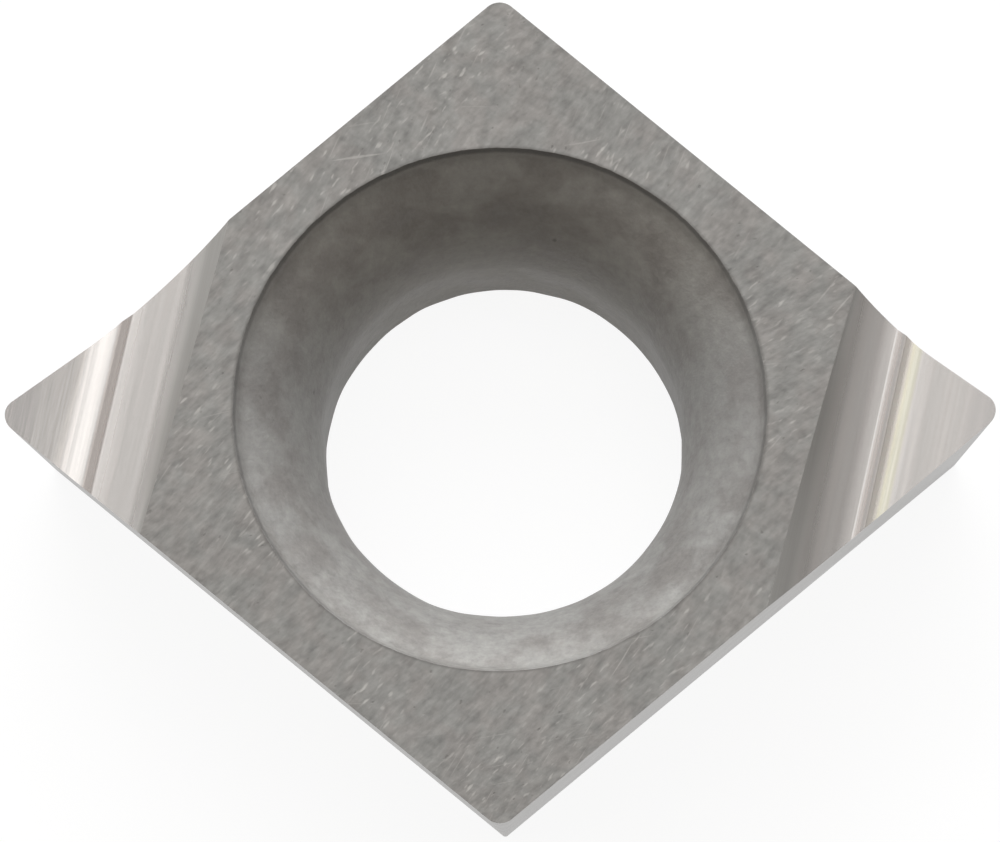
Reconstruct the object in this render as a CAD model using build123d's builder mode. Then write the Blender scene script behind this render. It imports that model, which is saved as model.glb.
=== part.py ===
"""Positive carbide turning insert: an 80 degree rhombus with a countersunk screw hole
and a ground chipbreaker at each of its two acute corners.

Frame: millimetres, +Z up.  The origin is on the bottom face, on the axis of the hole.
+X runs along the long diagonal, from the left acute corner to the right one.
"""
import os
from math import cos, radians, sin, sqrt, tan

from build123d import *

os.makedirs("parts", exist_ok=True)

# ---- Outline -------------------------------------------------------------------------
inscribed_circle = 3.5  # diameter of the circle that the four top edges touch
thickness = 1.4  # bottom face to top face
point_angle = 80.0  # degrees, at the two acute corners
clearance_angle = 7.0  # degrees, each flank leans in towards the bottom face
nose_radius = 0.10  # every corner, at the top face
heel_radius = 0.02  # every corner, at the bottom face

# ---- Screw hole ----------------------------------------------------------------------
bore_diameter = 1.95  # the straight part, open at the bottom face
seat_radius = 0.925  # section radius of the trumpet-shaped screw seat, tangent to the bore
rim_diameter = 2.892  # where the hole opens in the top face
lip_height = 0.07  # steep lip between the seat and the top face
lip_width = 0.014  # how far the lip leans in over its height

# ---- Chipbreaker, measured square to its run and inwards from the sharp acute corner ---
run_angle = 77.6  # degrees from +X to the run of both grinding passes
run_fall = 3.15  # degrees, both passes deepen along the run
rake_angle = 17.1  # degrees, the cutting land falls away behind the corner
nose_drop = 0.0147  # depth of the land below the top face, at the sharp corner
land_width = 0.651  # sharp corner to the side of the wheel that grinds the land
land_fillet = 0.15  # corner radius of that wheel
wall_line = 0.5072  # sharp corner to the lowest line of the chip-curling wall
wall_depth = 0.1764  # that lowest line, below the top face
wall_radius = 0.63  # section radius of the wall
ridge_foot = 0.0928  # lowest line of the wall to the foot of the ridge
ridge_angle = 21.3  # degrees, slope of the ridge's inner face
second_corner_infeed = 0.02  # the right corner is ground this much further in

cut_clear = 0.2  # each cutter runs this far past the surface that it opens


def half_diagonals(circle_diameter):
    """Half the long and half the short diagonal of the rhombus round a circle."""
    half_angle = radians(point_angle / 2)
    return circle_diameter / 2 / sin(half_angle), circle_diameter / 2 / cos(half_angle)


def corner_waste(plane, circle_diameter, corner_angle, corner_radius):
    """Sketch what rounding takes off the corner that points along the plane's x axis."""
    half_angle = radians(corner_angle / 2)
    tip = circle_diameter / 2 / sin(half_angle)
    edge_cut = corner_radius / tan(half_angle)
    arc_x = tip - edge_cut * cos(half_angle)
    arc_y = edge_cut * sin(half_angle)
    with BuildSketch(plane) as waste:
        with BuildLine():
            rounding = RadiusArc((arc_x, -arc_y), (arc_x, arc_y), -corner_radius)
            Polyline(rounding @ 1, (tip + cut_clear, 0), rounding @ 0)
        make_face()
    return waste.sketch


# ---- What the two grinding passes take away at the left corner -------------------------
# Both sections are drawn on a plane square to the run, with x inwards from the sharp
# corner and y upwards from the top face.
sharp_corner_x, _ = half_diagonals(inscribed_circle)
run_plan = Vector(cos(radians(run_angle)), sin(radians(run_angle)), 0)
wheel_plane = Plane(
    origin=(-sharp_corner_x, 0, thickness),
    x_dir=run_plan.cross(Vector(0, 0, 1)),
    z_dir=Vector(0, 0, sin(radians(run_fall))) - run_plan * cos(radians(run_fall)),
)


def land_height(inward):
    """Height of the cutting land, which is below the top face, so mostly negative."""
    return -nose_drop - inward * tan(radians(rake_angle))


arc_centre_height = wall_radius - wall_depth
foot = Vector(wall_line + ridge_foot, arc_centre_height - sqrt(wall_radius**2 - ridge_foot**2))
ridge_run = (cut_clear - foot.Y) / tan(radians(ridge_angle))
wall_run = sqrt(wall_radius**2 - (arc_centre_height - cut_clear) ** 2)

with BuildPart() as grind:
    # First pass: the cutting land, up to the rounded corner of the wheel.
    with BuildSketch(wheel_plane):
        with BuildLine():
            Polyline(
                (-cut_clear, cut_clear),
                (-cut_clear, land_height(-cut_clear)),
                (land_width, land_height(land_width)),
                (land_width, cut_clear),
                close=True,
            )
        make_face()
        fillet(vertices().sort_by(Axis.Y)[0], radius=land_fillet)
    extrude(amount=sharp_corner_x, both=True)

    # Second pass: the hollow wall.  The ridge is what both passes leave between them.
    with BuildSketch(wheel_plane):
        with BuildLine():
            ridge_face = Line((foot.X - ridge_run, cut_clear), foot)
            wall = RadiusArc(ridge_face @ 1, (wall_line + wall_run, cut_clear), -wall_radius)
            Line(wall @ 1, ridge_face @ 0)
        make_face()
    extrude(amount=sharp_corner_x, both=True)

# ---- The insert ------------------------------------------------------------------------
bottom_circle = inscribed_circle - 2 * thickness * tan(radians(clearance_angle))
bore_radius = bore_diameter / 2
seat_edge = Vector(rim_diameter / 2 - lip_width, thickness - lip_height)
seat_width = seat_edge.X - bore_radius
seat_height = sqrt(seat_radius**2 - (seat_radius - seat_width) ** 2)

with BuildPart() as insert:
    # Body: a sharp rhombus, its flanks drafted from the top face down.
    with BuildSketch():
        along_x, along_y = half_diagonals(inscribed_circle)
        Polygon((-along_x, 0), (0, -along_y), (along_x, 0), (0, along_y))
    extrude(amount=thickness)
    top_plane = Plane.XY.offset(thickness)
    draft(faces().filter_by(Axis.Z, reverse=True), top_plane, -clearance_angle)

    # Corners: rounded at the top face and nearly sharp at the bottom face.
    for quarter_turns, corner_angle in enumerate(2 * (point_angle, 180 - point_angle)):
        heel_plane = Plane.XY.rotated((0, 0, 90 * quarter_turns))
        nose_plane = heel_plane.offset(thickness)
        heel_waste = corner_waste(heel_plane, bottom_circle, corner_angle, heel_radius)
        nose_waste = corner_waste(nose_plane, inscribed_circle, corner_angle, nose_radius)
        loft([heel_waste, nose_waste], ruled=True, mode=Mode.SUBTRACT)

    # Hole: bore, trumpet-shaped seat and lip, as one section turned about the axis.
    with BuildSketch(Plane.XZ):
        with BuildLine():
            bore = Line((bore_radius, -cut_clear), (bore_radius, seat_edge.Y - seat_height))
            seat = TangentArc(bore @ 1, seat_edge, tangent=bore % 1)
            Polyline(
                seat @ 1,
                (rim_diameter / 2, thickness),
                (rim_diameter / 2, thickness + cut_clear),
                (0, thickness + cut_clear),
                (0, -cut_clear),
                bore @ 0,
            )
        make_face()
    revolve(axis=Axis.Z, mode=Mode.SUBTRACT)

    # Chipbreakers: the same grind at the left corner and, half a turn on, at the right.
    for half_turns, infeed in ((0, 0), (1, second_corner_infeed)):
        with Locations(Location((0, 0, 0), (0, 0, 180 * half_turns))):
            with Locations((infeed, 0, 0)):
                add(grind.part, mode=Mode.SUBTRACT)

insert.part.label = "insert"
export_step(insert.part, "parts/insert.step")
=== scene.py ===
"""Looks of the carbide turning insert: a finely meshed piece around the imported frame,
with ground, lapped and sintered finishes, the photograph's camera and soft studio light.

Lengths are in millimetres while the mesh is made, and the finished mesh is in metres.
The values of the shape are those of the CAD source.
"""
from math import asin, atan2, cos, degrees, hypot, pi, radians, sin, sqrt, tan

import bpy
import numpy as np
from mathutils import Matrix, Vector, noise


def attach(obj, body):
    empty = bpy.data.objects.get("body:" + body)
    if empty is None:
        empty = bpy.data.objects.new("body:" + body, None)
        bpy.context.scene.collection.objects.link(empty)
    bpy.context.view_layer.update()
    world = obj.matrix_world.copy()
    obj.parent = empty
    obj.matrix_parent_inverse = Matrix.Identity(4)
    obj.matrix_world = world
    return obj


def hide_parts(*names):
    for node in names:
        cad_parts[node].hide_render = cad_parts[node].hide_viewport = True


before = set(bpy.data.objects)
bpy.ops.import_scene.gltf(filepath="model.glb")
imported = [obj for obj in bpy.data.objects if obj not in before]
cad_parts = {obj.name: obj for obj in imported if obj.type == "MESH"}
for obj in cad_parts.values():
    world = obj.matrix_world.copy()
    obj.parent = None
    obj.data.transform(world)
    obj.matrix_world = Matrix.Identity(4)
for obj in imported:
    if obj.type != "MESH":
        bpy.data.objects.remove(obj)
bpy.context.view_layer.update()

# ---- Shape, as in the CAD source --------------------------------------------------------
INSCRIBED_CIRCLE = 3.5
THICKNESS = 1.4
POINT_ANGLE = 80.0
CLEARANCE_ANGLE = 7.0
NOSE_RADIUS = 0.10
HEEL_RADIUS = 0.02
BORE_RADIUS = 0.975
SEAT_RADIUS = 0.925
RIM_RADIUS = 1.446
LIP_HEIGHT = 0.07
LIP_WIDTH = 0.014
RUN_ANGLE = 77.6
RUN_FALL = 3.15
RAKE_ANGLE = 17.1
NOSE_DROP = 0.0147
LAND_FILLET = 0.15
WALL_LINE = 0.5072
WALL_DEPTH = 0.1764
WALL_RADIUS = 0.63
RIDGE_FOOT = 0.0928
RIDGE_ANGLE = 21.3
SECOND_CORNER_INFEED = 0.02
CUT_CLEAR = 0.2

# ---- Detail that only the piece has -----------------------------------------------------
FOOT_FILLET = 0.035  # hollow at the foot of the ridge
FOOT_SHIFT = (0.002, 0.050)  # per corner: the foot is this much further in
WHEEL_WEAR = ((0.370, 0.67), (0.42, 0.44))  # per corner: where the wheel is worn, worn radius
WORN_SLOPE = 6.0  # degrees, where the worn radius meets the wheel's own corner
RIM_WOBBLE = 0.003  # the sintered rim isn't a perfect circle
RIM_SHIFT = 0.014  # nor quite in line with the bore
BORE_WOBBLE = 0.004
SEAT_WOBBLE = 0.003
RIM_WAVES = ((5.0, 9.0), (8.0, 30.0))  # seed and scale of the noise, coarse and fine
SEAT_WAVES = (11.0, 4.0)
SEAT_RISE = 3  # how fast the seat's noise changes with height
BORE_WAVES = (2.0, 6.0)
BORE_FLATS = (  # azimuth and half width in degrees, depth
    (3, 12, 0.008),
    (36, 16, 0.007),
    (186, 12, 0.008),
    (228, 18, 0.006),
    (272, 24, 0.010),
)
SHOULDER = (  # the broken edge from the seat to the top face: radius, depth
    (1.386, 0.097),
    (1.398, 0.085),
    (1.407, 0.071),
    (1.414, 0.055),
    (1.421, 0.035),
    (1.427, 0.018),
    (1.431, 0.007),
    (1.434, 0.0026),
    (1.4375, 0.0),
)
CORNER_STEPS = 24
TURN_STEPS = 384
BORE_RINGS = 6
SEAT_STEPS = 40
ARC_STEPS = 48
WEAR_STEPS = 16
HOLLOW_STEPS = 12
SUPPORT = 0.004  # strip beside each arc, which keeps the shading of the flat face flat
SHARP_ANGLE = radians(18)
MM = 0.001


def arc(centre, radius, start, end, steps=ARC_STEPS):
    """Points on an arc between two angles, in radians, both ends included."""
    angles = np.linspace(start, end, steps + 1)
    return [(centre[0] + radius * cos(a), centre[1] + radius * sin(a)) for a in angles]


def outline(circle_diameter, corner_radius, z):
    """The rounded rhombus at height z, anticlockwise from the right corner."""
    points = []
    for quarter, corner_angle in enumerate(2 * (POINT_ANGLE, 180 - POINT_ANGLE)):
        half_angle = radians(corner_angle / 2)
        centre = (circle_diameter / 2 - corner_radius) / sin(half_angle)
        sweep = pi / 2 - half_angle
        turn = Matrix.Rotation(quarter * pi / 2, 3, "Z")
        corner = arc((centre, 0), corner_radius, -sweep, sweep, CORNER_STEPS)
        tangent = (SUPPORT * sin(sweep), SUPPORT * cos(sweep))
        corner.insert(0, (corner[0][0] - tangent[0], corner[0][1] - tangent[1]))
        corner.append((corner[-1][0] - tangent[0], corner[-1][1] + tangent[1]))
        points += [turn @ Vector((x, y, z)) for x, y in corner]
    return points


def loop_solid(name, loops):
    """A closed mesh through loops of points, all with the same count, with flat ends."""
    count = len(loops[0])
    faces = [list(range(count))[::-1], [len(loops) * count - count + i for i in range(count)]]
    for level in range(len(loops) - 1):
        for i in range(count):
            a, b = level * count + i, level * count + (i + 1) % count
            faces.append([a, b, b + count, a + count])
    mesh = bpy.data.meshes.new(name)
    mesh.from_pydata([tuple(p) for loop in loops for p in loop], [], faces)
    mesh.validate()
    made = bpy.data.objects.new(name, mesh)
    bpy.context.scene.collection.objects.link(made)
    return made


def body():
    """The drafted rhombus with its rounded corners."""
    bottom_circle = INSCRIBED_CIRCLE - 2 * THICKNESS * tan(radians(CLEARANCE_ANGLE))
    heel = outline(bottom_circle, HEEL_RADIUS, 0)
    nose = outline(INSCRIBED_CIRCLE, NOSE_RADIUS, THICKNESS)
    return loop_solid("body", [heel, nose])


def wobble(angle, height, seed, scale):
    """Smooth noise round the hole, from about -1 to 1."""
    place = Vector((cos(angle) * scale, sin(angle) * scale, height + seed))
    return noise.noise(place)


def flats(angle):
    """How far the shallow flats of the sintered bore stand inside its circle."""
    depth = 0.0
    for azimuth, half_width, most in BORE_FLATS:
        off = (degrees(angle) - azimuth + 180) % 360 - 180
        depth += most * max(0.0, 1 - (off / half_width) ** 2)
    return depth


def hole():
    """What the screw hole takes away: bore, trumpet-shaped seat and broken edge."""
    seat_edge = (RIM_RADIUS - LIP_WIDTH, THICKNESS - LIP_HEIGHT)
    seat_width = seat_edge[0] - BORE_RADIUS
    seat_height = sqrt(SEAT_RADIUS**2 - (SEAT_RADIUS - seat_width) ** 2)
    seat_turn = atan2(seat_height, SEAT_RADIUS - seat_width)
    seat_foot = seat_edge[1] - seat_height
    # Each ring: radius, height, share of the bore's shape, share of the rim's shape.
    rings = [(BORE_RADIUS, -CUT_CLEAR, 1, 0)]
    rings += [(BORE_RADIUS, seat_foot * i / BORE_RINGS, 1, 0) for i in range(BORE_RINGS)]
    seat_centre = (BORE_RADIUS + SEAT_RADIUS, seat_foot)
    for radius, z in arc(seat_centre, SEAT_RADIUS, pi, pi - seat_turn, SEAT_STEPS):
        share = (z - seat_foot) / seat_height
        if radius < SHOULDER[0][0]:
            rings.append((radius, z, 1 - share, share * share))
    rings += [(radius, THICKNESS - depth, 0, 1) for radius, depth in SHOULDER]
    rings.append((SHOULDER[-1][0], THICKNESS + CUT_CLEAR, 0, 1))
    loops = []
    for radius, z, as_bore, as_rim in rings:
        loop = []
        for i in range(TURN_STEPS):
            a = 2 * pi * i / TURN_STEPS
            rim = sum(wobble(a, 0, *waves) for waves in RIM_WAVES)
            r = radius + as_rim * RIM_WOBBLE * rim
            r += SEAT_WOBBLE * (1 - as_rim) * wobble(a, SEAT_RISE * z, *SEAT_WAVES)
            r += as_bore * (BORE_WOBBLE * wobble(a, 0, *BORE_WAVES) - flats(a))
            loop.append((r * cos(a), r * sin(a) + as_rim * RIM_SHIFT, z))
        loops.append(loop)
    return loop_solid("hole", loops)


def land_height(inward):
    """Height of the cutting land, which is below the top face, so mostly negative."""
    return -NOSE_DROP - inward * tan(radians(RAKE_ANGLE))


def land_section(worn_start, worn_radius):
    """What the first pass takes away, square to its run: inwards, upwards."""
    rake, soft = radians(RAKE_ANGLE), radians(WORN_SLOPE)
    centre = (
        worn_start + worn_radius * sin(rake),
        land_height(worn_start) + worn_radius * cos(rake),
    )
    worn = arc(centre, worn_radius, -pi / 2 - rake, -pi / 2 - soft, WEAR_STEPS)
    centre = (worn[-1][0] + LAND_FILLET * sin(soft), worn[-1][1] + LAND_FILLET * cos(soft))
    corner = arc(centre, LAND_FILLET, -pi / 2 - soft, 0)
    start = [(-CUT_CLEAR, CUT_CLEAR), (-CUT_CLEAR, land_height(-CUT_CLEAR))]
    before = worn_start - SUPPORT
    support = [(before, land_height(before))]
    return start + support + worn + corner[1:] + [(corner[-1][0], CUT_CLEAR)]


def wall_section(foot_shift):
    """What the second pass takes away, with the small hollow at the foot of the ridge."""
    centre = Vector((WALL_LINE, WALL_RADIUS - WALL_DEPTH))
    foot_x = RIDGE_FOOT + foot_shift
    foot = centre + Vector((foot_x, -sqrt(WALL_RADIUS**2 - foot_x**2)))
    slope = radians(RIDGE_ANGLE)
    up_ridge = Vector((-cos(slope), sin(slope)))
    off_ridge = Vector((sin(slope), cos(slope)))
    # The hollow touches the ridge face and, from inside, the wall's arc.
    start = foot + FOOT_FILLET * off_ridge - centre
    half_b = start.dot(up_ridge)
    c = start.length_squared - (WALL_RADIUS - FOOT_FILLET) ** 2
    hollow = centre + start + (-half_b - sqrt(half_b**2 - c)) * up_ridge
    outward = (hollow - centre).normalized()
    on_ridge, on_wall = atan2(-off_ridge.y, -off_ridge.x), atan2(outward.y, outward.x)
    hollow_arc = arc(hollow, FOOT_FILLET, on_ridge, on_wall, HOLLOW_STEPS)
    wall_end = asin((CUT_CLEAR - centre.y) / WALL_RADIUS)
    wall_arc = arc(centre, WALL_RADIUS, on_wall, wall_end)
    ridge_foot = Vector(hollow_arc[0])
    ridge_top = ridge_foot + (CUT_CLEAR - ridge_foot.y) / sin(slope) * up_ridge
    return [tuple(ridge_top), tuple(ridge_foot + SUPPORT * up_ridge)] + hollow_arc + wall_arc[1:]


SHARP_CORNER_X = INSCRIBED_CIRCLE / 2 / sin(radians(POINT_ANGLE / 2))
RUN = Vector((cos(radians(RUN_ANGLE)), sin(radians(RUN_ANGLE)), 0))
INWARD = RUN.cross(Vector((0, 0, 1)))
AGAINST_RUN = Vector((0, 0, sin(radians(RUN_FALL)))) - RUN * cos(radians(RUN_FALL))
UPWARD = AGAINST_RUN.cross(INWARD)


def grinding_pass(name, section, half_turns, infeed):
    """A section that is drawn out along the run, at the left corner or half a turn on."""
    origin = Vector((infeed - SHARP_CORNER_X, 0, THICKNESS))
    turn = Matrix.Rotation(pi * half_turns, 3, "Z")
    loops = []
    for along in (-SHARP_CORNER_X, SHARP_CORNER_X):
        places = [origin + x * INWARD + y * UPWARD + along * AGAINST_RUN for x, y in section]
        loops.append([turn @ p for p in places])
    return loop_solid(name, loops)


# ---- The piece --------------------------------------------------------------------------
LAPPED, SEAT, GROUND, FLANK, BASE = range(5)
FACING_DOWN, FACING_UP, LEANING = -0.9, 0.9999, 0.2  # limits for the normal's upward part
AT_TOP = 1e-4  # how near the top face a face's middle has to be


def finish_of(polygon):
    """The finish that a face has, from its place and its normal, in millimetres."""
    n, c = polygon.normal, polygon.center
    radius = hypot(c.x, c.y)
    if n.z < FACING_DOWN:
        return BASE
    if n.z > FACING_UP and abs(c.z - THICKNESS) < AT_TOP:
        return LAPPED
    if radius < RIM_RADIUS + RIM_SHIFT and n.x * c.x + n.y * c.y < 0:
        return SEAT
    return GROUND if n.z > LEANING else FLANK


def make_piece():
    """The body with the hole and both chipbreakers cut, as one mesh in metres."""
    blank = body()
    cutters = [hole()]
    for half_turns, infeed in ((0, 0), (1, SECOND_CORNER_INFEED)):
        section = land_section(*WHEEL_WEAR[half_turns])
        cutters.append(grinding_pass("land", section, half_turns, infeed))
        section = wall_section(FOOT_SHIFT[half_turns])
        cutters.append(grinding_pass("wall", section, half_turns, infeed))
    for cutter in cutters:
        cut = blank.modifiers.new("cut", "BOOLEAN")
        cut.operation, cut.solver, cut.object = "DIFFERENCE", "EXACT", cutter
    depsgraph = bpy.context.evaluated_depsgraph_get()
    mesh = bpy.data.meshes.new_from_object(blank.evaluated_get(depsgraph))
    for used in [blank] + cutters:
        bpy.data.objects.remove(used)
    mesh.materials.clear()
    mesh.shade_smooth()
    mesh.set_sharp_from_angle(angle=SHARP_ANGLE)
    mesh.polygons.foreach_set("material_index", [finish_of(p) for p in mesh.polygons])
    mesh.transform(Matrix.Scale(MM, 4))
    mesh.name = "carbide_insert"
    piece = bpy.data.objects.new("carbide_insert", mesh)
    bpy.context.scene.collection.objects.link(piece)
    return piece


piece = make_piece()
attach(piece, "root")
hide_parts("insert")


# ---- Nodes ------------------------------------------------------------------------------
MIX_FACTOR, MIX_A, MIX_B, MIX_RESULT = 0, 6, 7, 2  # sockets of a colour's Mix node


class Nodes:
    """Short calls for the nodes of one material."""

    def __init__(self, name):
        self.material = bpy.data.materials.new(name)
        self.material.use_nodes = True
        self.tree = self.material.node_tree
        self.tree.nodes.clear()

    def add(self, kind, inputs=(), out=0, **settings):
        made = self.tree.nodes.new(kind)
        for key, value in settings.items():
            setattr(made, key, value)
        for key, value in dict(inputs).items():
            if isinstance(value, bpy.types.NodeSocket):
                self.tree.links.new(value, made.inputs[key])
            else:
                made.inputs[key].default_value = value
        return made.outputs[out]

    def math(self, operation, a, b=0.0, c=0.0):
        return self.add("ShaderNodeMath", {0: a, 1: b, 2: c}, operation=operation)

    def vector(self, operation, a, b=(0, 0, 0), out=0):
        return self.add("ShaderNodeVectorMath", {0: a, 1: b}, out, operation=operation)

    def scaled(self, a, factor):
        return self.add("ShaderNodeVectorMath", {0: a, "Scale": factor}, operation="SCALE")

    def place(self):
        """The place on the object, in millimetres."""
        return self.scaled(self.add("ShaderNodeTexCoord", out="Object"), 1 / MM)

    def dot(self, a, direction):
        return self.vector("DOT_PRODUCT", a, direction, out="Value")

    def combine(self, x, y, z=0.0):
        return self.add("ShaderNodeCombineXYZ", {0: x, 1: y, 2: z})

    def noise(self, place, scale=1.0, detail=2.0, rough=0.5, out=0):
        inputs = {"Vector": place, "Scale": scale, "Detail": detail, "Roughness": rough}
        return self.add("ShaderNodeTexNoise", inputs, out)

    def step(self, value, low, high, to_low=0.0, to_high=1.0):
        """A smooth step between two values."""
        return self.add(
            "ShaderNodeMapRange",
            {0: value, 1: low, 2: high, 3: to_low, 4: to_high},
            interpolation_type="SMOOTHSTEP",
        )

    def mix(self, factor, a, b, blend="MIX"):
        return self.add(
            "ShaderNodeMix",
            {MIX_FACTOR: factor, MIX_A: a, MIX_B: b},
            MIX_RESULT,
            data_type="RGBA",
            blend_type=blend,
            clamp_factor=True,
        )

    def sum_of(self, start, *terms):
        """start plus each noise, centred on zero, times its weight."""
        total = start
        for value, weight in terms:
            centred = self.math("MULTIPLY_ADD", value, weight, -0.5 * weight)
            total = self.math("ADD", total, centred)
        return total

    def grey(self, value):
        return self.combine(value, value, value)

    def along(self, place, angle, lengthwise, across, offset=(0.0, 0.0)):
        """A plane that is stretched along a direction, for scratches."""
        a = radians(angle)
        x, y = self.dot(place, (cos(a), sin(a), 0)), self.dot(place, (-sin(a), cos(a), 0))
        x = self.math("MULTIPLY_ADD", x, lengthwise, offset[0])
        y = self.math("MULTIPLY_ADD", y, across, offset[1])
        return self.combine(x, y)

    def rim_distance(self, place):
        """Distance, in plan, from the middle of the rim of the screw hole."""
        from_middle = self.vector("SUBTRACT", place, (0, RIM_SHIFT, 0))
        in_plan = self.vector("MULTIPLY", from_middle, (1, 1, 0))
        return self.vector("LENGTH", in_plan, out="Value")

    def depth(self, place):
        """Depth below the top face."""
        return self.math("SUBTRACT", THICKNESS, self.dot(place, (0, 0, 1)))

    def tinted(self, mask, colour, tint):
        """The colour times a tint, as far as the mask goes."""
        return self.mix(mask, colour, tint, "MULTIPLY")

    def finish(self, colour, roughness, height, height_mm, metallic=1.0):
        """The finished material, with its bump in millimetres."""
        relief = {"Height": height, "Distance": height_mm * MM, "Strength": 1.0}
        inputs = {"Base Color": colour, "Roughness": roughness, "Metallic": metallic}
        inputs["Normal"] = self.add("ShaderNodeBump", relief)
        self.add_output(self.add("ShaderNodeBsdfPrincipled", inputs))
        return self.material

    def add_output(self, shader):
        out = self.tree.nodes.new("ShaderNodeOutputMaterial")
        self.tree.links.new(shader, out.inputs["Surface"])


def rgb(r, g, b):
    return (r, g, b, 1.0)


# ---- Materials --------------------------------------------------------------------------
LAPPED_TONES = (rgb(0.258, 0.254, 0.243), rgb(0.264, 0.253, 0.241))
FRESH_SCRATCH = rgb(0.56, 0.54, 0.51)
LAPPED_PIT = rgb(0.10, 0.095, 0.088)
# painted shade next to the edge of the screw hole
RIM_PAINTED_SHADE = rgb(0.08, 0.076, 0.07)
LAPPED_RELIEF = 0.0009
SEAT_TONES = (rgb(0.268, 0.257, 0.246), rgb(0.342, 0.337, 0.326))
# painted light on the near side of the seat
SEAT_PAINTED_LIGHT = rgb(1.09, 1.09, 1.085)
# painted warm shade on the far side of the seat
SEAT_PAINTED_WARM_SHADE = rgb(1.0, 0.962, 0.905)
SEAT_PIT = rgb(0.07, 0.066, 0.062)
# painted shade on the broken edge of the seat
SEAT_EDGE_PAINTED_SHADE = rgb(0.03, 0.028, 0.026)
SEAT_METALLIC = 0.12
SEAT_RELIEF = 0.0020
GROUND_TONES = (rgb(0.580, 0.557, 0.538), rgb(0.598, 0.569, 0.549))
# painted shade on the wall where it is steep and where it runs out
WALL_PAINTED_SHADE = rgb(0.372, 0.362, 0.346)
GROUND_RELIEF = 0.00012
FLANK_TONE = rgb(0.298, 0.290, 0.281)
FLANK_RELIEF = 0.0005

# Stripes along the run.  The first four numbers are distances from the sharp corner, in
# millimetres: where a stripe starts, is full, begins to fade and ends.  Then come its
# weight and the tint that multiplies the colour.
RIGHT_STRIPES = (
    (0.505, 0.53, 0.56, 0.585, 1.0, rgb(0.99, 1.0, 0.885)),  # pale yellow tint
    (0.546, 0.566, 0.605, 0.630, 1.0, rgb(1.29, 1.27, 1.22)),  # painted highlight on the ridge
    (0.628, 0.645, 0.658, 0.675, 1.0, rgb(1.08, 1.05, 1.04)),  # painted pinkish highlight at the foot of the ridge
    (-0.10, -0.05, 0.14, 0.26, 1.0, rgb(0.91, 0.91, 0.915)),  # duller point of the land
)
LEFT_STRIPES = (
    (0.535, 0.550, 0.590, 0.605, 0.8, rgb(0.92, 0.875, 0.855)),  # brownish tint and painted shade on the ridge
    (0.590, 0.600, 0.630, 0.650, 1.0, rgb(0.87, 0.87, 0.87)),  # painted shade at the foot of the ridge
    (0.355, 0.380, 0.395, 0.412, 1.0, rgb(1.20, 1.19, 1.18)),  # painted highlight where the wheel's worn radius starts
    (0.430, 0.442, 0.452, 0.464, 1.0, rgb(0.86, 0.86, 0.86)),  # score beside the highlight
    (-0.10, -0.05, 0.18, 0.26, 1.0, rgb(0.86, 0.86, 0.865)),  # duller point of the land
)
SCORED_LAND = (-0.10, -0.05, 0.38, 0.46)


def lapped(name):
    """Lapped carbide: short crossing scratches, cloudy tones, bright specks and dark pits."""
    n = Nodes(name)
    p = n.place()
    drift = n.noise(p, 0.6, 0.0, out="Color")
    bent = n.vector("ADD", p, n.scaled(n.vector("SUBTRACT", drift, (0.5, 0.5, 0.5)), 0.4))
    flecks = n.noise(n.along(bent, 45, 8.5, 19.0), 1.0, 2.5, 0.6)
    fine = n.noise(n.along(bent, 38, 22.0, 52.0, (7.0, 3.0)), 1.0, 1.0, 0.5)
    cross = n.noise(n.along(bent, -24, 8.0, 34.0, (2.0, 9.0)), 1.0, 1.0, 0.5)
    blotch = n.noise(p, 9.0, 2.5, 0.6)
    cloud = n.noise(p, 2.0, 1.0, 0.5)
    scratches = ((flecks, 0.90), (fine, 0.24), (cross, 0.20))
    tone = n.sum_of(1.0, *scratches, (blotch, 0.55), (cloud, 0.22))
    warm = n.noise(p, 6.0, 2.0, 0.6)
    base = n.mix(n.step(warm, 0.36, 0.64), *LAPPED_TONES)
    colour = n.tinted(1.0, base, n.grey(tone))
    # Bright scratches lie in loose groups.
    group = n.step(n.noise(p, 1.7, 1.0), 0.42, 0.60)
    bright = n.noise(n.along(bent, 46, 12.0, 36.0, (13.0, 31.0)), 1.0, 1.0, 0.5)
    bright = n.step(bright, 0.60, 0.78)
    lines = n.noise(n.along(bent, 60, 3.2, 52.0, (17.0, 5.0)), 1.0, 0.0)
    lines = n.step(lines, 0.72, 0.86)
    strays = n.noise(n.along(bent, 8, 2.4, 60.0, (41.0, 15.0)), 1.0, 0.0)
    strays = n.step(strays, 0.76, 0.88)
    marks = n.math("MAXIMUM", n.math("MULTIPLY", bright, 0.50), n.math("MULTIPLY", lines, 0.30))
    marks = n.math("MAXIMUM", marks, n.math("MULTIPLY", strays, 0.26))
    marks = n.math("MULTIPLY", marks, n.math("MULTIPLY_ADD", group, 0.75, 0.25))
    colour = n.mix(marks, colour, FRESH_SCRATCH)
    pits = n.noise(n.along(bent, 42, 20.0, 34.0, (3.0, 57.0)), 1.0, 1.0, 0.5)
    pits = n.step(pits, 0.30, 0.20)
    colour = n.mix(n.math("MULTIPLY", pits, 0.36), colour, LAPPED_PIT)
    # Painted shade: the top face is a little darker next to the edge of the screw hole.
    edge = n.step(n.rim_distance(p), 1.456, 1.436)
    colour = n.mix(n.math("MULTIPLY", edge, 0.42), colour, RIM_PAINTED_SHADE)
    height = n.sum_of(0.0, (flecks, 1.0), (fine, 0.4), (pits, -0.5))
    roughness = n.step(blotch, 0.3, 0.7, 0.42, 0.52)
    return n.finish(colour, roughness, height, LAPPED_RELIEF)


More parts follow.
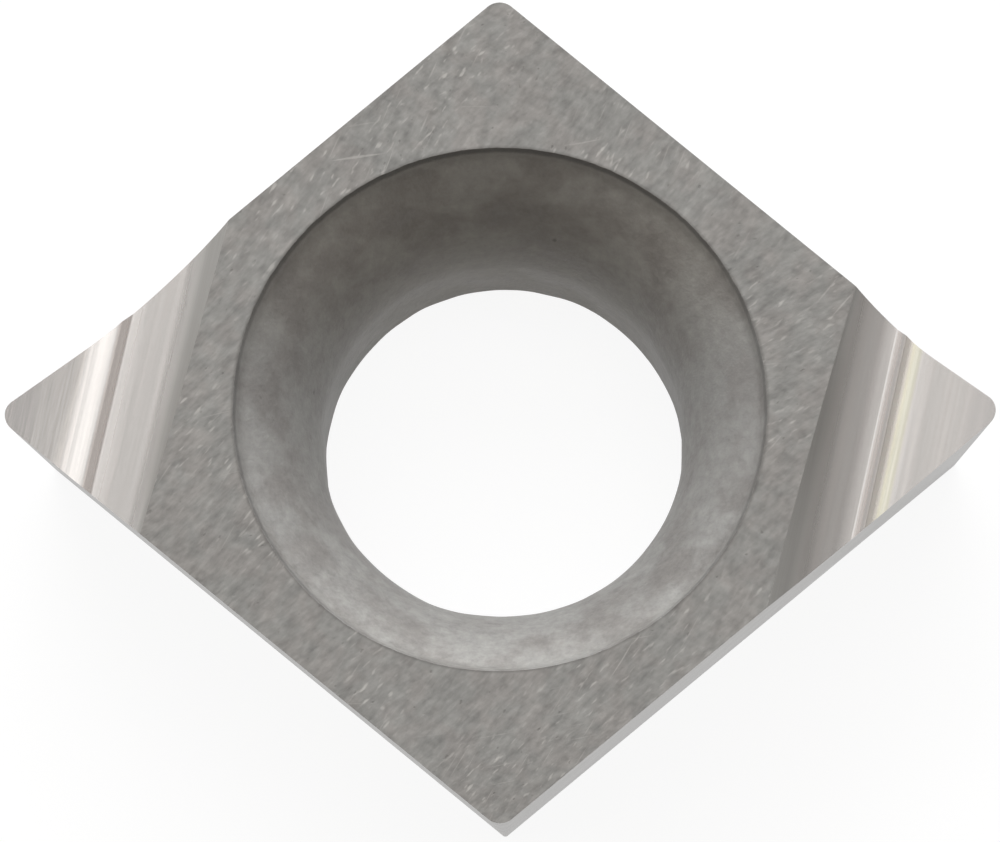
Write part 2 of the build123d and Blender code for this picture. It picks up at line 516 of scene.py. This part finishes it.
def sintered(name):
    """As-sintered carbide: matt, cloudy, with a fine grain and a few pits; painted shade darkens
    the broken edge and the far side, and painted light brightens the near side.
    """
    n = Nodes(name)
    p = n.place()
    grain = n.noise(p, 48.0, 2.0, 0.6)
    mottle = n.noise(p, 15.0, 3.0, 0.65)
    cloud = n.noise(p, 3.2, 3.0, 0.6)
    back = n.dot(p, (0, 1, 0))
    depth = n.depth(p)
    tone = n.sum_of(1.0, (grain, 0.30), (mottle, 0.72))
    base = n.mix(n.step(cloud, 0.36, 0.64), *SEAT_TONES)
    colour = n.tinted(n.step(back, -1.2, 0.3, 1.0, 0.62), base, n.grey(tone))
    # Painted light: the near side of the seat is made a little brighter.
    near_painted_light = n.math("MULTIPLY", n.step(back, -0.80, -1.25), n.step(depth, 0.34, 0.08))
    near_painted_light = n.math("MULTIPLY", near_painted_light, n.step(cloud, 0.30, 0.55, 0.45, 1.0))
    colour = n.tinted(near_painted_light, colour, SEAT_PAINTED_LIGHT)
    pits = n.step(n.noise(p, 11.0, 1.0), 0.22, 0.15)
    colour = n.mix(n.math("MULTIPLY", pits, 0.6), colour, SEAT_PIT)
    # Painted warm shade: the far, shaded side is tinted a little browner.
    far_painted_tint = n.math("MULTIPLY", n.step(back, 0.1, 1.1), n.step(cloud, 0.2, 0.5, 0.6, 1.0))
    colour = n.tinted(far_painted_tint, colour, SEAT_PAINTED_WARM_SHADE)
    # Painted shade: the broken edge is darker, most of all on the far side.
    edge = n.math("MULTIPLY", n.step(depth, 0.054, 0.020), n.step(depth, -0.001, 0.001))
    at_back, at_front = n.step(back, 0.3, 1.2, 0.36, 0.60), n.step(back, -1.35, -0.2, 0.18, 1.0)
    edge = n.math("MULTIPLY", edge, n.math("MINIMUM", at_back, at_front))
    colour = n.mix(edge, colour, SEAT_EDGE_PAINTED_SHADE)
    roughness = n.step(cloud, 0.3, 0.7, 0.5, 0.6)
    height = n.sum_of(0.0, (n.noise(p, 18.0, 2.0, 0.6), 2.0), (grain, 1.0))
    return n.finish(colour, roughness, height, SEAT_RELIEF, SEAT_METALLIC)


def ground(name):
    """Finely ground land, ridge and wall, with streaks along the wheel's run."""
    n = Nodes(name)
    p = n.place()
    across = n.dot(p, tuple(INWARD))
    lengthwise = n.dot(p, tuple(RUN))
    inward = n.math("SUBTRACT", SHARP_CORNER_X * INWARD.x, n.math("ABSOLUTE", across))
    right = n.math("GREATER_THAN", across, 0.0)
    left = n.math("SUBTRACT", 1.0, right)

    def streaks(fineness, length, detail):
        """Noise drawn out along the run, changing this often per millimetre."""
        x, y = n.math("MULTIPLY", across, fineness), n.math("MULTIPLY", lengthwise, length)
        return n.noise(n.combine(x, y), 1.0, detail, 0.6)

    def stripe(start, full, fade, end):
        return n.math("MULTIPLY", n.step(inward, start, full), n.step(inward, end, fade))

    fine, middle = streaks(130.0, 2.5, 2.0), streaks(42.0, 1.2, 1.0)
    band = streaks(13.0, 0.5, 1.0)
    base = n.mix(n.step(band, 0.35, 0.65), *GROUND_TONES)
    tone = n.sum_of(1.0, (fine, 0.16), (middle, 0.16), (band, 0.10))
    on_land = n.step(inward, 0.56, 0.66, 1.0, 0.5)
    colour = n.tinted(on_land, base, n.grey(tone))
    for side, stripes in ((right, RIGHT_STRIPES), (left, LEFT_STRIPES)):
        for *places, weight, tint in stripes:
            mask = n.math("MULTIPLY", stripe(*places), side)
            colour = n.tinted(n.math("MULTIPLY", mask, weight), colour, tint)
    scores = n.grey(n.sum_of(1.0, (streaks(75.0, 2.0, 3.0), 0.60)))
    colour = n.tinted(n.math("MULTIPLY", stripe(*SCORED_LAND), left), colour, scores)
    # The wall runs out into the lapped face without a sharp edge. Painted shade makes it darker
    # there and wherever it is steep.
    facing_up = n.dot(n.add("ShaderNodeTexCoord", out="Normal"), (0, 0, 1))
    worn = n.math("MAXIMUM", n.step(n.depth(p), 0.045, 0.004), n.step(facing_up, 0.86, 0.72))
    worn = n.math("MULTIPLY", worn, n.step(inward, 0.66, 0.74))
    colour = n.mix(worn, colour, WALL_PAINTED_SHADE)
    # It is rougher there, and so is the hollow at the foot of the ridge.
    foot = stripe(0.580, 0.600, 0.625, 0.650)
    smooth = n.step(fine, 0.3, 0.7, 0.18, 0.24)
    roughness = n.math("MULTIPLY_ADD", worn, 0.40, n.math("MULTIPLY_ADD", foot, 0.16, smooth))
    height = n.sum_of(0.0, (fine, 0.5), (middle, 1.0))
    return n.finish(colour, roughness, height, GROUND_RELIEF)


def flank(name):
    """Finely ground flanks, with streaks along each edge."""
    n = Nodes(name)
    p = n.place()
    x, y, z = (n.dot(p, axis) for axis in ((1, 0, 0), (0, 1, 0), (0, 0, 1)))
    scales = ((x, 1.2), (y, 1.2), (z, 60.0))
    place = n.combine(*(n.math("MULTIPLY", axis, scale) for axis, scale in scales))
    fine = n.noise(place, 1.0, 3.0, 0.7)
    cloud = n.noise(p, 4.0, 2.0, 0.5)
    tone = n.sum_of(1.0, (fine, 0.25), (cloud, 0.15))
    colour = n.tinted(1.0, FLANK_TONE, n.grey(tone))
    return n.finish(colour, n.step(fine, 0.3, 0.7, 0.28, 0.40), fine, FLANK_RELIEF)


for material in (
    lapped("lapped_top"),
    sintered("sintered_seat"),
    ground("ground_chipbreaker"),
    flank("ground_flank"),
    lapped("lapped_base"),
):
    piece.data.materials.append(material)

# ---- Floor ------------------------------------------------------------------------------
FLOOR_HALF = 3.0
FLOOR_DROP = 2e-6
CARD_COLOUR = rgb(0.85, 0.85, 0.85)  # the floor as it lights the insert
SHADED_COLOUR = rgb(0.13, 0.13, 0.13)  # the part of the seen floor that takes the shadow
GLOW_COLOUR = rgb(1, 1, 1)  # the part that makes it white
GLOW = 0.91
FLOOR_CORNERS = ((-1, -1), (1, -1), (1, 1), (-1, 1))
floor_mesh = bpy.data.meshes.new("floor")
floor_mesh.from_pydata(
    [(x * FLOOR_HALF, y * FLOOR_HALF, -FLOOR_DROP) for x, y in FLOOR_CORNERS],
    [],
    [(0, 1, 2, 3)],
)
floor = bpy.data.objects.new("floor", floor_mesh)
bpy.context.scene.collection.objects.link(floor)

f = Nodes("floor")
rays = f.tree.nodes.new("ShaderNodeLightPath")
seen = f.math("MAXIMUM", rays.outputs["Is Camera Ray"], rays.outputs["Is Glossy Ray"])
seen = f.math("MAXIMUM", seen, rays.outputs["Is Transmission Ray"])
card = f.add("ShaderNodeBsdfDiffuse", {"Color": CARD_COLOUR})
shaded = f.add("ShaderNodeBsdfDiffuse", {"Color": SHADED_COLOUR})
glow = f.add("ShaderNodeEmission", {"Color": GLOW_COLOUR, "Strength": GLOW})
background = f.add("ShaderNodeAddShader", {0: shaded, 1: glow})
f.add_output(f.add("ShaderNodeMixShader", {0: seen, 1: card, 2: background}))
floor_mesh.materials.append(f.material)

# ---- Light ------------------------------------------------------------------------------
WORLD_STRENGTH = 0.12
WORLD_COLOUR = rgb(1, 0.94, 0.86)
world = bpy.data.worlds.new("studio")
world.use_nodes = True
backdrop = world.node_tree.nodes["Background"]
backdrop.inputs["Color"].default_value = WORLD_COLOUR
backdrop.inputs["Strength"].default_value = WORLD_STRENGTH
bpy.context.scene.world = world

# The light tent, as rectangular panels round the insert.  A panel above it is placed by how
# far it is to the right and to the back, in degrees, and a panel beside it by azimuth and
# elevation.  Then come its width and height, in degrees, and its radiance.
PANELS_ABOVE = (
    (-24, 6, 14, 12, 0.84),
    (-10, 6, 14, 12, 0.96),
    (4, 6, 14, 12, 1.50),
    (18, 6, 14, 12, 1.30),
    (32, 6, 14, 12, 1.35),
    (46, 6, 14, 12, 0.20),
    (-38, 18, 14, 12, 0.91),
    (-24, 18, 14, 12, 0.83),
    (-10, 18, 14, 12, 1.48),
    (4, 18, 14, 12, 1.50),
    (18, 18, 14, 12, 1.82),
    (-52, 30, 14, 12, 0.23),
    (-38, 30, 14, 12, 0.60),
    (-24, 30, 14, 12, 0.62),
    (-10, 30, 14, 12, 0.88),
    (4, 30, 14, 12, 0.68),
    (-50, 47, 32, 20, 0.77),
    (-17, 47, 32, 20, 3.12),
    (17, 47, 32, 20, 1.22),
)
PANELS_BESIDE = (
    (0, 14, 40, 22, 0.28),
    (45, 14, 40, 22, 2.75),
    (90, 14, 40, 22, 3.69),
    (135, 14, 40, 22, 0.46),
    (180, 14, 40, 22, 2.47),
    (315, 14, 40, 22, 0.42),
    (0, 38, 40, 24, 0.39),
    (90, 38, 40, 24, 2.10),
)
PANEL_DISTANCE = 0.6


def add_panel(name, away, across, wide, high, radiance):
    """A rectangular lamp that faces the insert, with one side along a direction."""
    lamp = bpy.data.lights.new(name, "AREA")
    lamp.shape = "RECTANGLE"
    lamp.size = 2 * PANEL_DISTANCE * tan(radians(wide / 2))
    lamp.size_y = 2 * PANEL_DISTANCE * tan(radians(high / 2))
    lamp.energy = radiance * pi * lamp.size * lamp.size_y
    panel = bpy.data.objects.new(name, lamp)
    away = away.normalized()
    across = (across - across.dot(away) * away).normalized()
    axes = Matrix((across, away.cross(across), away)).transposed()
    panel.matrix_world = Matrix.Translation(away * PANEL_DISTANCE) @ axes.to_4x4()
    bpy.context.scene.collection.objects.link(panel)


for right, back, wide, high, radiance in PANELS_ABOVE:
    away = Vector((tan(radians(right)), tan(radians(back)), 1))
    add_panel(f"above_{right}_{back}", away, Vector((1, 0, 0)), wide, high, radiance)
for azimuth, elevation, wide, high, radiance in PANELS_BESIDE:
    a, e = radians(azimuth), radians(elevation)
    away = Vector((cos(a) * cos(e), sin(a) * cos(e), sin(e)))
    across = Vector((-sin(a), cos(a), 0))
    add_panel(f"beside_{azimuth}_{elevation}", away, across, wide, high, radiance)

# ---- Camera -----------------------------------------------------------------------------
TARGET = Vector((0, 0, THICKNESS * MM))
TO_CAMERA = Vector((0.01983211, -0.20938679, 0.97763176))
CAMERA_RIGHT = Vector((0.99979077, -0.00074679, -0.02044157))
CAMERA_UP = Vector((0.00501028, 0.97783261, 0.20932817))
CAMERA_DISTANCE = 0.119336
PIXELS_PER_METRE = 186227.7
IMAGE_WIDTH = 1000
SENSOR = 36.0
CLIP = (0.001, 10.0)
OFF_CENTRE = (0.216, 9.74)  # the target's place in the image, left of and above its middle

camera_data = bpy.data.cameras.new("camera")
camera_data.sensor_fit = "HORIZONTAL"
camera_data.sensor_width = SENSOR
camera_data.lens = PIXELS_PER_METRE * CAMERA_DISTANCE * SENSOR / IMAGE_WIDTH
camera_data.clip_start, camera_data.clip_end = CLIP
camera = bpy.data.objects.new("camera", camera_data)
camera_place = TARGET + CAMERA_DISTANCE * TO_CAMERA
camera_place += (OFF_CENTRE[0] * CAMERA_RIGHT - OFF_CENTRE[1] * CAMERA_UP) / PIXELS_PER_METRE
turned = Matrix((CAMERA_RIGHT, CAMERA_UP, TO_CAMERA)).transposed()
camera.matrix_world = Matrix.Translation(camera_place) @ turned.to_4x4()
bpy.context.scene.collection.objects.link(camera)
bpy.context.scene.camera = camera
bpy.context.scene.view_settings.view_transform = "Standard"
